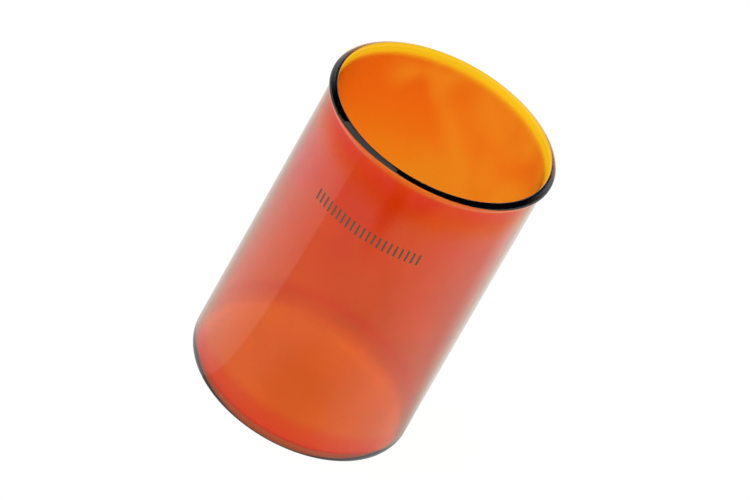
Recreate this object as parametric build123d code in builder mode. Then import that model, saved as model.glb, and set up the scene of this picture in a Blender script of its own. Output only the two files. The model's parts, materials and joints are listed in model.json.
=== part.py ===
from build123d import *
import math
import os

# Amber laboratory beaker: straight wall, no spout, mouth rolled out into a lip, closed base.
# Millimetres, +Z up. The origin is the centre of the standing face, on the vessel's axis.
# The front of the vessel, where the printed mark is, faces -Y.

# Vessel
BODY_RADIUS = 30.0            # outside of the straight wall
HEIGHT = 92.0                 # standing face to the top of the mouth
WALL = 1.2                    # thickness of the straight wall
LIP_REACH = 31.2              # outermost radius of the mouth
LIP_RADIUS = 0.75             # rounding of the lip, at its outermost
LIP_DROP = 1.2                # from the top of the mouth down to where the lip is widest
CREST_RADIUS = 0.6            # rounding of the mouth's top edge, on the inside
FLARE_RADIUS = 12.0           # slight flare of the inside, up to the crest
FLARE_ANGLE = 14.0            # degrees that the flare turns outwards
NECK_RADIUS = 1.5             # hollow curve between the wall and the lip, outside
HEEL_RADIUS = 5.5             # rounded edge between the wall and the base, outside
BASE_THICKNESS = 1.6          # thickness of the base above the standing ring
PUSH_UP = 0.8                 # rise of the underside at the axis, so that it stands on a ring
RING_WIDTH = 3.0              # width of the flat ring that it stands on

# Printed mark: a row of plain upright strokes, fired on the outside of the wall
STROKE_COUNT = 21
STROKE_WIDTH = 0.5
STROKE_HEIGHT = 3.3
STROKE_PITCH = 3.0            # degrees between neighbouring strokes
INK_THICKNESS = 0.05
MARK_DROP = 21.6              # from the top of the mouth down to the middle of the strokes

# Worked out from the above
INNER_RADIUS = BODY_RADIUS - WALL
INNER_HEEL_RADIUS = HEEL_RADIUS - WALL
HEEL_CENTRE_RADIUS = BODY_RADIUS - HEEL_RADIUS
RING_INNER_RADIUS = HEEL_CENTRE_RADIUS - RING_WIDTH


def mouth_arcs():
    """The mouth's four arcs, each as its centre, its radius, and the angles where it starts and
    ends: the hollow neck up from the wall, the lip, the crest, and the flare down to the inside.
    The neck touches the lip, and one straight crown touches both the lip and the crest."""
    flare_turn = math.radians(FLARE_ANGLE)
    past_crest = FLARE_RADIUS - CREST_RADIUS
    crest_z = HEIGHT - CREST_RADIUS
    flare = Vector(INNER_RADIUS + FLARE_RADIUS, crest_z - past_crest * math.sin(flare_turn))
    crest = Vector(flare.X - past_crest * math.cos(flare_turn), crest_z)
    lip = Vector(LIP_REACH - LIP_RADIUS, HEIGHT - LIP_DROP)
    neck_x = BODY_RADIUS + NECK_RADIUS
    reach = LIP_RADIUS + NECK_RADIUS
    neck = Vector(neck_x, lip.Y - math.sqrt(reach**2 - (neck_x - lip.X) ** 2))
    to_lip = lip - neck
    neck_end = math.degrees(math.atan2(to_lip.Y, to_lip.X))
    slope = lip - crest
    slope_angle = math.degrees(math.atan2(slope.Y, slope.X))
    crown = slope_angle + math.degrees(math.acos((CREST_RADIUS - LIP_RADIUS) / slope.length))
    return (
        (neck, NECK_RADIUS, 180, neck_end),
        (lip, LIP_RADIUS, neck_end - 180, crown),
        (crest, CREST_RADIUS, crown, 180 - FLARE_ANGLE),
        (flare, FLARE_RADIUS, 180 - FLARE_ANGLE, 180),
    )


def make_glass_beaker():
    """The one-piece glass vessel, turned from its half section."""
    neck, lip, crest, flare = mouth_arcs()
    inner_heel_top = Vector(INNER_RADIUS, BASE_THICKNESS + INNER_HEEL_RADIUS)
    floor_edge = Vector(INNER_RADIUS - INNER_HEEL_RADIUS, BASE_THICKNESS)
    floor_dome_edge = Vector(RING_INNER_RADIUS, BASE_THICKNESS)
    floor_centre = Vector(0, BASE_THICKNESS + PUSH_UP)
    dome_radius = (RING_INNER_RADIUS**2 + PUSH_UP**2) / (2 * PUSH_UP)
    heel_bottom = Vector(HEEL_CENTRE_RADIUS, 0)
    ring_inner = Vector(RING_INNER_RADIUS, 0)
    underside_centre = Vector(0, PUSH_UP)
    with BuildPart() as glass_beaker:
        with BuildSketch(Plane.XZ):
            with BuildLine():
                RadiusArc(underside_centre, ring_inner, dome_radius)
                Line(ring_inner, heel_bottom)
                JernArc(heel_bottom, (1, 0), HEEL_RADIUS, 90)
                for centre, radius, start, end in (neck, lip, crest, flare):
                    CenterArc(centre, radius, start, end - start)
                wall_top = neck[0] - Vector(NECK_RADIUS, 0)
                Line((BODY_RADIUS, HEEL_RADIUS), wall_top)
                crown = Vector(1, 0).rotate(Axis.Z, crest[2])
                Line(lip[0] + crown * LIP_RADIUS, crest[0] + crown * CREST_RADIUS)
                Line(flare[0] - Vector(FLARE_RADIUS, 0), inner_heel_top)
                JernArc(inner_heel_top, (0, -1), INNER_HEEL_RADIUS, -90)
                Line(floor_edge, floor_dome_edge)
                RadiusArc(floor_dome_edge, floor_centre, -dome_radius)
                Line(floor_centre, underside_centre)
            make_face()
        revolve(axis=Axis.Z)
    return glass_beaker


def make_printed_mark():
    """A row of separate upright ink strokes that lie on the outside of the wall, centred on -Y."""
    mark_bottom = HEIGHT - MARK_DROP - STROKE_HEIGHT / 2
    spread = STROKE_PITCH * (STROKE_COUNT - 1)
    mark_middle = (0, 0, mark_bottom + STROKE_HEIGHT / 2)
    with BuildPart() as printed_mark:
        with BuildSketch(Plane.XY.offset(mark_bottom)):
            with PolarLocations(
                BODY_RADIUS, STROKE_COUNT, -90 - spread / 2, spread, endpoint=True
            ):
                Rectangle(WALL, STROKE_WIDTH)
        extrude(amount=STROKE_HEIGHT)
        with Locations(mark_middle):
            Cylinder(BODY_RADIUS + INK_THICKNESS, STROKE_HEIGHT, mode=Mode.INTERSECT)
            Cylinder(BODY_RADIUS, STROKE_HEIGHT, mode=Mode.SUBTRACT)
    return printed_mark


glass_beaker = make_glass_beaker()
glass_beaker.part.label = "glass_beaker"
printed_mark = make_printed_mark()
printed_mark.part.label = "printed_mark"

os.makedirs("parts", exist_ok=True)
export_step(glass_beaker.part, "parts/glass_beaker.step")
export_step(printed_mark.part, "parts/printed_mark.step")
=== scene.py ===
import bpy
import json
import math
from mathutils import Matrix, Vector


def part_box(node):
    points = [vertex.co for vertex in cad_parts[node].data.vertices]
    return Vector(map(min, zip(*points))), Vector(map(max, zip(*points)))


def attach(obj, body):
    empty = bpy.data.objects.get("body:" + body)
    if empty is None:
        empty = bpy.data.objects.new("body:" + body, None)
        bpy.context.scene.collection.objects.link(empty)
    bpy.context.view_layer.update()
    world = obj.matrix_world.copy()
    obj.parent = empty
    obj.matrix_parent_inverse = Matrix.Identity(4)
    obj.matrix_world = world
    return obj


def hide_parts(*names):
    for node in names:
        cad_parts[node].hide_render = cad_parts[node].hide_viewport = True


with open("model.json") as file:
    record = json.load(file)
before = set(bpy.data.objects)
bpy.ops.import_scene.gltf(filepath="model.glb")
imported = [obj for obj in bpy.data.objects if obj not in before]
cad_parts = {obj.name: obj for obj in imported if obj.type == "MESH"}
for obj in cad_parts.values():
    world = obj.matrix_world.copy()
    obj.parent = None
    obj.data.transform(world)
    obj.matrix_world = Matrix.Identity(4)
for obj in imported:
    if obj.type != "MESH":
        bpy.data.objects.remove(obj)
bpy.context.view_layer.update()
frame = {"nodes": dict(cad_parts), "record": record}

# ---------------------------------------------------------------- sizes, in metres
mounts = {mount["name"]: mount for mount in frame["record"]["mounts"]}
beaker_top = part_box("glass_beaker")[1]

HEIGHT = beaker_top.z
BODY_RADIUS = mounts["body"]["dims"]["r_mm"] / 1000
INNER_RADIUS = mounts["mouth"]["dims"]["r_mm"] / 1000
LIP_REACH = beaker_top.x
WALL = BODY_RADIUS - INNER_RADIUS
LIP_RADIUS = 0.00075          # rounding of the lip, at its outermost
LIP_DROP = 0.0012             # from the top of the mouth down to where the lip is widest
CREST_RADIUS = 0.0006         # rounding of the mouth's top edge, on the inside
FLARE_RADIUS = 0.012          # slight flare of the inside, up to the crest
FLARE_ANGLE = 14              # degrees that the flare turns outwards
NECK_RADIUS = 0.0015          # hollow curve between the wall and the lip
HEEL_RADIUS = 0.0055
INNER_HEEL_RADIUS = HEEL_RADIUS - WALL
BASE_THICKNESS = 0.0016
PUSH_UP = 0.0008              # rise of the underside at the axis
RING_WIDTH = 0.003            # flat ring that the vessel stands on
RING_INNER_RADIUS = BODY_RADIUS - HEEL_RADIUS - RING_WIDTH
SEGMENTS = 288                # steps round the axis


# ---------------------------------------------------------------- the vessel's half section
def arc(centre, radius, start, end, steps):
    """Points (radius from the axis, height) on an arc, angles in degrees from +r towards +z."""
    points = []
    for i in range(steps + 1):
        angle = math.radians(start + (end - start) * i / steps)
        points.append(centre + Vector((math.cos(angle), math.sin(angle))) * radius)
    return points


def straight(start, end, steps):
    """Points from start to end, without either end."""
    return [start.lerp(end, i / steps) for i in range(1, steps)]


def dome(edge_height, steps):
    """Points of the pushed-up middle of the base, from the axis out to the ring."""
    radius = (RING_INNER_RADIUS**2 + PUSH_UP**2) / (2 * PUSH_UP)
    centre = Vector((0, edge_height + PUSH_UP - radius))
    widest = math.degrees(math.asin(RING_INNER_RADIUS / radius))
    return arc(centre, radius, 90, 90 - widest, steps)


def direction(vector):
    """A vector's angle in degrees, from +r towards +z."""
    return math.degrees(math.atan2(vector.y, vector.x))


def mouth():
    """From the wall up the neck, round the lip, across the crown, over the crest and down the flare."""
    past_crest = FLARE_RADIUS - CREST_RADIUS
    turn = math.radians(FLARE_ANGLE)
    crest_z = HEIGHT - CREST_RADIUS
    flare_centre = Vector((INNER_RADIUS + FLARE_RADIUS, crest_z - past_crest * math.sin(turn)))
    crest_centre = Vector((flare_centre.x - past_crest * math.cos(turn), crest_z))
    lip_centre = Vector((LIP_REACH - LIP_RADIUS, HEIGHT - LIP_DROP))
    neck_x = BODY_RADIUS + NECK_RADIUS
    rise = math.sqrt((LIP_RADIUS + NECK_RADIUS) ** 2 - (neck_x - lip_centre.x) ** 2)
    neck_centre = Vector((neck_x, lip_centre.y - rise))
    neck_end = direction(lip_centre - neck_centre)
    slope = lip_centre - crest_centre
    crown = direction(slope) + math.degrees(math.acos((CREST_RADIUS - LIP_RADIUS) / slope.length))
    neck = arc(neck_centre, NECK_RADIUS, 180, neck_end, 14)
    lip = arc(lip_centre, LIP_RADIUS, neck_end - 180, crown, 30)
    crest = arc(crest_centre, CREST_RADIUS, crown, 180 - FLARE_ANGLE, 20)
    flare = arc(flare_centre, FLARE_RADIUS, 180 - FLARE_ANGLE, 180, 12)
    return neck + lip[1:] + straight(lip[-1], crest[0], 8) + crest + flare[1:]


def vessel_section():
    """The whole closed section, from the middle of the underside round to the middle of the floor."""
    heel_centre = Vector((BODY_RADIUS - HEEL_RADIUS, HEEL_RADIUS))
    inner_heel_centre = Vector((INNER_RADIUS - INNER_HEEL_RADIUS, BASE_THICKNESS + INNER_HEEL_RADIUS))
    heel = arc(heel_centre, HEEL_RADIUS, -90, 0, 20)
    rim = mouth()
    inner_heel = arc(inner_heel_centre, INNER_HEEL_RADIUS, 0, -90, 20)
    outside = dome(0, 14) + heel + straight(heel[-1], rim[0], 48)
    inside = straight(rim[-1], inner_heel[0], 48) + inner_heel + dome(BASE_THICKNESS, 14)[::-1]
    return outside + rim + inside


def turned_mesh(name, section, segments):
    """A closed mesh turned from a section that starts and ends on the axis."""
    rings = section[1:-1]
    vertices = [(0, 0, section[0].y), (0, 0, section[-1].y)]
    for point in rings:
        for step in range(segments):
            angle = 2 * math.pi * step / segments
            vertices.append((point.x * math.cos(angle), point.x * math.sin(angle), point.y))
    faces = []
    for step in range(segments):
        after = (step + 1) % segments
        faces.append((0, 2 + after, 2 + step))
        for ring in range(len(rings) - 1):
            base = 2 + ring * segments
            faces.append((base + step, base + after, base + segments + after, base + segments + step))
        last = 2 + (len(rings) - 1) * segments
        faces.append((1, last + step, last + after))
    mesh = bpy.data.meshes.new(name)
    mesh.from_pydata(vertices, [], faces)
    mesh.validate()
    mesh.shade_smooth()
    return mesh


# ---------------------------------------------------------------- materials
# The stain's colours, and the amber of the painted shade at the heel
STAIN_TOP_RED = (0.88, 0.135, 0.005, 1)
STAIN_TOP_AMBER = (0.92, 0.25, 0.012, 1)
STAIN_LOW_RED = (0.86, 0.27, 0.010, 1)
STAIN_LOW_AMBER = (0.80, 0.25, 0.012, 1)
STAIN_LIP = (0.98, 0.58, 0.012, 1)
# painted shade: the darker amber given to the front of the heel and to the ring just above the heel
HEEL_PAINTED_SHADE = (0.82, 0.12, 0.010, 1)
STAIN_BASE = (0.99, 0.43, 0.03, 1)

# Where one colour gives way to the next: the start and the end of each change, in metres
LOW_TO_TOP = (0.040, 0.080)
SHADE_RING_BOTTOM = (0.0065, 0.0090)          # darker ring on the wall, just above the heel: painted shade of the heel's bend
SHADE_RING_TOP = (0.0125, 0.0095)
HEEL_TO_WALL = (0.0010, 0.0065)
BASE_TO_HEEL = (0.0240, 0.0262)         # by the distance from the axis
BACK_TO_SHADED_FRONT = (-0.004, 0.016)         # painted shade on the heel's front, by the distance in front of the axis
WALL_TO_LIP = (HEIGHT - 0.0042, HEIGHT - 0.0012)

# how much of the painted shade the ring just above the heel gets
SHADE_RING_STRENGTH = 0.55
HEEL_SHADE_RISE = 0.005                       # how much higher the heel's painted shade stands at the front
STAIN_PATCH = 0.022                     # size of the stain's cloudy patches
STAIN_SEED = 0.37
STAIN_CONTRAST = (0.34, 0.66)
REDDER_TO_LEFT = 5.0                    # lean of the patches, towards amber at +X

# The lustre: the film's thickness is in nanometres
LUSTRE_IOR = 1.74
LUSTRE_PATCH = 0.018
LUSTRE_SEED = 0.73
FILM_THIN = 55.0
FILM_THICK = 95.0
FILM_COLLAR = 90.0                      # what is added near the mouth
COLLAR_RISE = (0.074, 0.090)
LUSTRE_END = (HEIGHT - 0.0022, HEIGHT - 0.0034)

GLASS_IOR = 1.473
SHADOW_TINT = (0.97, 0.80, 0.66, 1)

INK_DARK = (0.085, 0.065, 0.040, 1)
INK_PALE = (0.125, 0.10, 0.065, 1)
INK_GRAIN = 0.00015
INK_SEED = 0.11
INK_RELIEF = 0.00002


def new_material(name):
    """An empty node material and its tree."""
    material = bpy.data.materials.new(name)
    material.use_nodes = True
    material.node_tree.nodes.clear()
    return material, material.node_tree


def add(tree, kind, settings=None, **inputs):
    """A node with its settings and its input values or links; a name's _ stands for a space."""
    node = tree.nodes.new(kind)
    for key, value in (settings or {}).items():
        setattr(node, key, value)
    for key, value in inputs.items():
        socket = node.inputs[key.replace("_", " ")]
        if isinstance(value, bpy.types.NodeSocket):
            tree.links.new(value, socket)
        else:
            socket.default_value = value
    return node


def ramp(tree, value, start, end):
    """0 below start, 1 above end, and a smooth change between them."""
    settings = {"interpolation_type": "SMOOTHSTEP"}
    node = add(tree, "ShaderNodeMapRange", settings, Value=value, From_Min=start, From_Max=end)
    return node.outputs["Result"]


def blend_colours(tree, factor, low, high):
    """The low colour where the factor is 0, the high one where it is 1."""
    node = add(tree, "ShaderNodeMix", {"data_type": "RGBA"}, Factor=factor, A=low, B=high)
    return node.outputs["Result"]


def blotches(tree, place, size, seed):
    """Soft uneven patches about size metres across, from 0 to 1."""
    shifted = add(tree, "ShaderNodeMapping", Vector=place, Location=(seed, -seed, 2 * seed))
    cloud = add(
        tree,
        "ShaderNodeTexNoise",
        Vector=shifted.outputs[0],
        Scale=1 / size,
        Detail=1.5,
        Distortion=0.6,
    )
    return cloud.outputs[0]


def calculate(tree, operation, first, second):
    """One step of arithmetic on two numbers or sockets."""
    node = tree.nodes.new("ShaderNodeMath")
    node.operation = operation
    for socket, value in zip(node.inputs, (first, second)):
        if isinstance(value, bpy.types.NodeSocket):
            tree.links.new(value, socket)
        else:
            socket.default_value = value
    return node.outputs[0]


def off_axis(tree, place):
    """Distance from the vessel's axis."""
    level = add(tree, "ShaderNodeVectorMath", {"operation": "MULTIPLY"}, Vector=place)
    level.inputs[1].default_value = (1, 1, 0)
    radius = add(tree, "ShaderNodeVectorMath", {"operation": "LENGTH"}, Vector=level.outputs[0])
    return radius.outputs["Value"]


def amber_stain(tree, place):
    """The stain's colour: cloudy on the wall and redder towards -X, browner lower down, thin on the
    base and on the lip, with painted shade in a ring just above the heel and round the front of the
    heel."""
    split = add(tree, "ShaderNodeSeparateXYZ", Vector=place)
    height = split.outputs["Z"]

    lean = calculate(tree, "MULTIPLY", split.outputs["X"], REDDER_TO_LEFT)
    uneven = calculate(tree, "ADD", blotches(tree, place, STAIN_PATCH, STAIN_SEED), lean)
    cloud = ramp(tree, uneven, *STAIN_CONTRAST)
    top = blend_colours(tree, cloud, STAIN_TOP_RED, STAIN_TOP_AMBER)
    low = blend_colours(tree, cloud, STAIN_LOW_RED, STAIN_LOW_AMBER)
    plain_wall = blend_colours(tree, ramp(tree, height, *LOW_TO_TOP), low, top)

    # painted shade: a darker ring on the wall just above the heel
    ring = calculate(tree, "MULTIPLY", ramp(tree, height, *SHADE_RING_BOTTOM), ramp(tree, height, *SHADE_RING_TOP))
    wall = blend_colours(tree, calculate(tree, "MULTIPLY", ring, SHADE_RING_STRENGTH), plain_wall, HEEL_PAINTED_SHADE)

    # painted shade: the heel darker at the front, and reaching higher up the wall there
    forwards = calculate(tree, "MULTIPLY", split.outputs["Y"], -1)
    front = ramp(tree, forwards, *BACK_TO_SHADED_FRONT)
    outer = ramp(tree, off_axis(tree, place), *BASE_TO_HEEL)
    heel = blend_colours(tree, calculate(tree, "MULTIPLY", front, outer), STAIN_BASE, HEEL_PAINTED_SHADE)

    rise = calculate(tree, "MULTIPLY", front, HEEL_SHADE_RISE)
    above_heel = ramp(tree, calculate(tree, "SUBTRACT", height, rise), *HEEL_TO_WALL)
    below_lip = blend_colours(tree, above_heel, heel, wall)
    return blend_colours(tree, ramp(tree, height, *WALL_TO_LIP), below_lip, STAIN_LIP)


def lustre_film(tree, place):
    """Thickness of the outside's lustre, in nanometres: uneven, thicker towards the mouth, and none
    on the lip or the inside."""
    patches = blotches(tree, place, LUSTRE_PATCH, LUSTRE_SEED)
    film = add(tree, "ShaderNodeMapRange", Value=patches, To_Min=FILM_THIN, To_Max=FILM_THICK)
    height = add(tree, "ShaderNodeSeparateXYZ", Vector=place).outputs["Z"]
    collar = calculate(tree, "MULTIPLY", ramp(tree, height, *COLLAR_RISE), FILM_COLLAR)
    total = calculate(tree, "ADD", film.outputs["Result"], collar)

    outside = ramp(tree, off_axis(tree, place), BODY_RADIUS - 0.7 * WALL, BODY_RADIUS - 0.3 * WALL)
    below_lip = ramp(tree, height, *LUSTRE_END)
    coated = calculate(tree, "MULTIPLY", outside, below_lip)
    return calculate(tree, "MULTIPLY", total, coated)


def amber_glass():
    """Clear glass whose two skins carry a fired amber stain, with a mauve lustre on the outside.
    Shadow rays go straight through it."""
    material, tree = new_material("amber_glass")
    place = add(tree, "ShaderNodeTexCoord").outputs["Object"]
    glass = add(
        tree,
        "ShaderNodeBsdfPrincipled",
        Base_Color=amber_stain(tree, place),
        Transmission_Weight=1.0,
        Roughness=0.0,
        IOR=GLASS_IOR,
        Thin_Film_Thickness=lustre_film(tree, place),
        Thin_Film_IOR=LUSTRE_IOR,
    )
    shadow = add(tree, "ShaderNodeBsdfTransparent", Color=SHADOW_TINT)
    ray = add(tree, "ShaderNodeLightPath")
    mix = tree.nodes.new("ShaderNodeMixShader")
    tree.links.new(ray.outputs["Is Shadow Ray"], mix.inputs[0])
    tree.links.new(glass.outputs[0], mix.inputs[1])
    tree.links.new(shadow.outputs[0], mix.inputs[2])
    add(tree, "ShaderNodeOutputMaterial", Surface=mix.outputs[0])
    return material


def fired_ink():
    """Grey-brown enamel, a little grainy."""
    material, tree = new_material("fired_ink")
    place = add(tree, "ShaderNodeTexCoord").outputs["Object"]
    grain = blotches(tree, place, INK_GRAIN, INK_SEED)
    colour = blend_colours(tree, ramp(tree, grain, 0.35, 0.65), INK_DARK, INK_PALE)
    bump = add(tree, "ShaderNodeBump", Height=grain, Distance=INK_RELIEF, Strength=0.5)
    enamel = add(
        tree,
        "ShaderNodeBsdfPrincipled",
        Base_Color=colour,
        Roughness=0.55,
        Normal=bump.outputs[0],
    )
    add(tree, "ShaderNodeOutputMaterial", Surface=enamel.outputs[0])
    return material


# ---------------------------------------------------------------- pieces
beaker = bpy.data.objects.new("amber_beaker", turned_mesh("amber_beaker", vessel_section(), SEGMENTS))
bpy.context.scene.collection.objects.link(beaker)
beaker.data.materials.append(amber_glass())
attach(beaker, "root")
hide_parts("glass_beaker")

ink = fired_ink()
for slot in frame["nodes"]["printed_mark"].material_slots:
    slot.material = ink


# ---------------------------------------------------------------- stage
FLOOR_CORNERS = ((-4, -4), (4, -4), (4, 4), (-4, 4))
FLOOR_LEVEL = -0.0002         # just below the face that the vessel stands on
FLOOR_GLOW = 0.97
TURNED_SHADE_GLOW = 0.50            # the dimmer glow that meets light turned round inside the glass: painted shade

MIRROR_REACH = 3.0            # radius of the mirrored floor
MIRROR_LEVEL = -0.0001        # just above the floor
# Painted light and shade of the floor as the glass mirrors it, round the axis: each stop is a fraction
# of a turn from -X, through the front (0.25), +X (0.5) and the back (0.75), and the grey there. The
# sheet at the left ends at a straight edge.
MIRROR_STOPS = (
    (0.0, 0.85),
    (0.128, 0.45),
    (0.131, 0.25),
    (0.34, 0.25),
    (0.50, 0.60),
    (0.56, 0.65),
    (0.62, 1.05),
    (0.69, 1.10),
    (0.75, 0.60),
    (0.83, 1.00),
    (1.0, 0.85),
)
# Dark patches in front: first a painted reflection of dark kit, then the beaker's own painted shadow.
# Each gives azimuth, distance from the axis, the radii where the patch starts to fade and where it
# ends, and the brightness that is left in its middle
PAINTED_DARK_PATCHES = (
    (5, 0.160, 0.008, 0.038, 0.35),
    (8, 0.058, 0.010, 0.036, 0.65),
)
MIRROR_FAR = (0.18, 0.30)     # from here outwards the mirrored floor is one pale grey
FAR_GREY = (0.85, 0.85, 0.85, 1)

SKY_CHANGE = (0.25, 0.60)     # sine of the elevation, from the pale horizon to the dark above it
SKY_PALE = (0.95, 0.96, 1, 1)
SKY_DARK = (0.03, 0.03, 0.035, 1)


def towards(azimuth, elevation):
    """The direction from the vessel, in degrees: azimuth from the front (-Y) towards +X."""
    turn = math.radians(azimuth)
    rise = math.radians(elevation)
    level = math.cos(rise)
    return Vector((math.sin(turn) * level, -math.cos(turn) * level, math.sin(rise)))


def around(azimuth, radius):
    """A point on the floor, (x, y), at an azimuth and a distance from the axis."""
    point = towards(azimuth, 0) * radius
    return (point.x, point.y)


def flat_piece(name, corners, height, material):
    """A flat stage piece at one height, from its corners (x, y)."""
    mesh = bpy.data.meshes.new(name)
    mesh.from_pydata([(x, y, 0) for x, y in corners], [], [tuple(range(len(corners)))])
    piece = bpy.data.objects.new(name, mesh)
    piece.location.z = height
    piece.data.materials.append(material)
    bpy.context.scene.collection.objects.link(piece)
    return piece


def only_in_reflections(piece):
    """Hides a stage piece from everything but glossy reflections."""
    piece.visible_camera = False
    piece.visible_diffuse = False
    piece.visible_transmission = False
    piece.visible_shadow = False


def studio_floor():
    """Back-lit white acrylic: mostly its own light, and a little of the room's. Light that was turned
    round inside the glass meets a dimmer glow instead: painted shade seen in the glass."""
    material, tree = new_material("studio_floor")
    turned = add(tree, "ShaderNodeLightPath").outputs["Glossy Depth"]
    glow = add(tree, "ShaderNodeMapRange", Value=turned, To_Min=FLOOR_GLOW, To_Max=TURNED_SHADE_GLOW)
    acrylic = add(
        tree,
        "ShaderNodeBsdfPrincipled",
        Base_Color=(0.10, 0.10, 0.10, 1),
        Roughness=0.9,
        Specular_IOR_Level=0.0,
        Emission_Color=(1, 1, 1, 1),
        Emission_Strength=glow.outputs["Result"],
    )
    add(tree, "ShaderNodeOutputMaterial", Surface=acrylic.outputs[0])
    return material


def painted_dark_patch(tree, place, azimuth, distance, inner, outer, middle):
    """How much of the floor's brightness a painted dark patch leaves: middle at its centre, 1 outside
    it.
    """
    offset = add(tree, "ShaderNodeVectorMath", {"operation": "DISTANCE"}, Vector=place)
    offset.inputs[1].default_value = (*around(azimuth, distance), 0)
    edge = ramp(tree, offset.outputs["Value"], inner, outer)
    return add(tree, "ShaderNodeMapRange", Value=edge, To_Min=middle, To_Max=1.0).outputs["Result"]


def painted_floor_reflection():
    """A painted reflection of the floor, seen only in the glass: a pale sheet at the left, dark grey in
    front with two darker patches, a painted reflection of dark kit and the beaker's own painted shadow,
    and pale again at the right and behind."""
    material, tree = new_material("painted_floor_reflection")
    place = add(tree, "ShaderNodeTexCoord").outputs["Object"]
    angle = add(tree, "ShaderNodeTexGradient", {"gradient_type": "RADIAL"}, Vector=place)
    shade = add(tree, "ShaderNodeValToRGB", Fac=angle.outputs["Fac"])
    stops = shade.color_ramp.elements
    while len(stops) < len(MIRROR_STOPS):
        stops.new(0.5)
    for stop, (position, grey) in zip(stops, MIRROR_STOPS):
        stop.position = position
        stop.color = (grey, grey, grey, 1)
    strength = 1.0
    for patch in PAINTED_DARK_PATCHES:
        strength = calculate(tree, "MULTIPLY", painted_dark_patch(tree, place, *patch), strength)
    near = add(
        tree,
        "ShaderNodeVectorMath",
        {"operation": "SCALE"},
        Vector=shade.outputs[0],
        Scale=strength,
    )
    far = ramp(tree, off_axis(tree, place), *MIRROR_FAR)
    colour = blend_colours(tree, far, near.outputs[0], FAR_GREY)
    glow = add(tree, "ShaderNodeEmission", Color=colour)
    add(tree, "ShaderNodeOutputMaterial", Surface=glow.outputs[0])
    return material


flat_piece("floor", FLOOR_CORNERS, FLOOR_LEVEL, studio_floor())

disc = [around(azimuth, MIRROR_REACH) for azimuth in range(0, 360, 15)]
# painted reflection: a sheet of painted light and shade, seen only in glossy reflections
only_in_reflections(flat_piece("painted_floor_reflection", disc, MIRROR_LEVEL, painted_floor_reflection()))


def studio_world():
    """Pale round the horizon and dark overhead, as in a small studio."""
    world = bpy.data.worlds.new("studio")
    world.use_nodes = True
    tree = world.node_tree
    background = tree.nodes["Background"]
    place = add(tree, "ShaderNodeTexCoord").outputs["Generated"]
    height = add(tree, "ShaderNodeSeparateXYZ", Vector=place).outputs["Z"]
    colour = blend_colours(tree, ramp(tree, height, *SKY_CHANGE), SKY_PALE, SKY_DARK)
    tree.links.new(colour, background.inputs["Color"])
    background.inputs["Strength"].default_value = 1.0
    return world


def softbox(name, azimuth, elevation, distance, size, power):
    """A square light that faces the beaker."""
    data = bpy.data.lights.new(name, "AREA")
    data.shape = "SQUARE"
    data.size = size
    data.energy = power
    back = towards(azimuth, elevation)
    lamp = bpy.data.objects.new(name, data)
    turn = back.to_track_quat("Z", "Y").to_matrix().to_4x4()
    lamp.matrix_world = Matrix.Translation(back * distance) @ turn
    bpy.context.scene.collection.objects.link(lamp)


softbox("left_softbox", azimuth=-60, elevation=55, distance=1.6, size=1.6, power=10)

bpy.context.scene.world = studio_world()
bpy.context.scene.view_settings.view_transform = "Standard"


# ---------------------------------------------------------------- camera
CAMERA_AZIMUTH = 8            # degrees from the front, towards +X
CAMERA_ELEVATION = 32.9
CAMERA_ROLL = 29.65           # about its own axis
CAMERA_DISTANCE = 3.0
CAMERA_LENS = 570.7           # millimetres, on a sensor 36 mm wide
AIM_HEIGHT = 0.0487
AIM_RIGHT = 0.0006


def add_camera():
    """A long lens from the front and a little to the right, looking down and rolled."""
    back = towards(CAMERA_AZIMUTH, CAMERA_ELEVATION)
    right = towards(CAMERA_AZIMUTH + 90, 0)
    up = back.cross(right)
    target = right * AIM_RIGHT + Vector((0, 0, AIM_HEIGHT))
    roll = math.radians(CAMERA_ROLL)
    rolled_right = right * math.cos(roll) + up * math.sin(roll)
    rolled_up = up * math.cos(roll) - right * math.sin(roll)
    turn = Matrix((rolled_right, rolled_up, back)).transposed().to_4x4()
    data = bpy.data.cameras.new("camera")
    data.sensor_width = 36
    data.lens = CAMERA_LENS
    data.clip_end = 50
    camera = bpy.data.objects.new("camera", data)
    camera.matrix_world = Matrix.Translation(target + back * CAMERA_DISTANCE) @ turn
    bpy.context.scene.collection.objects.link(camera)
    bpy.context.scene.camera = camera


add_camera()
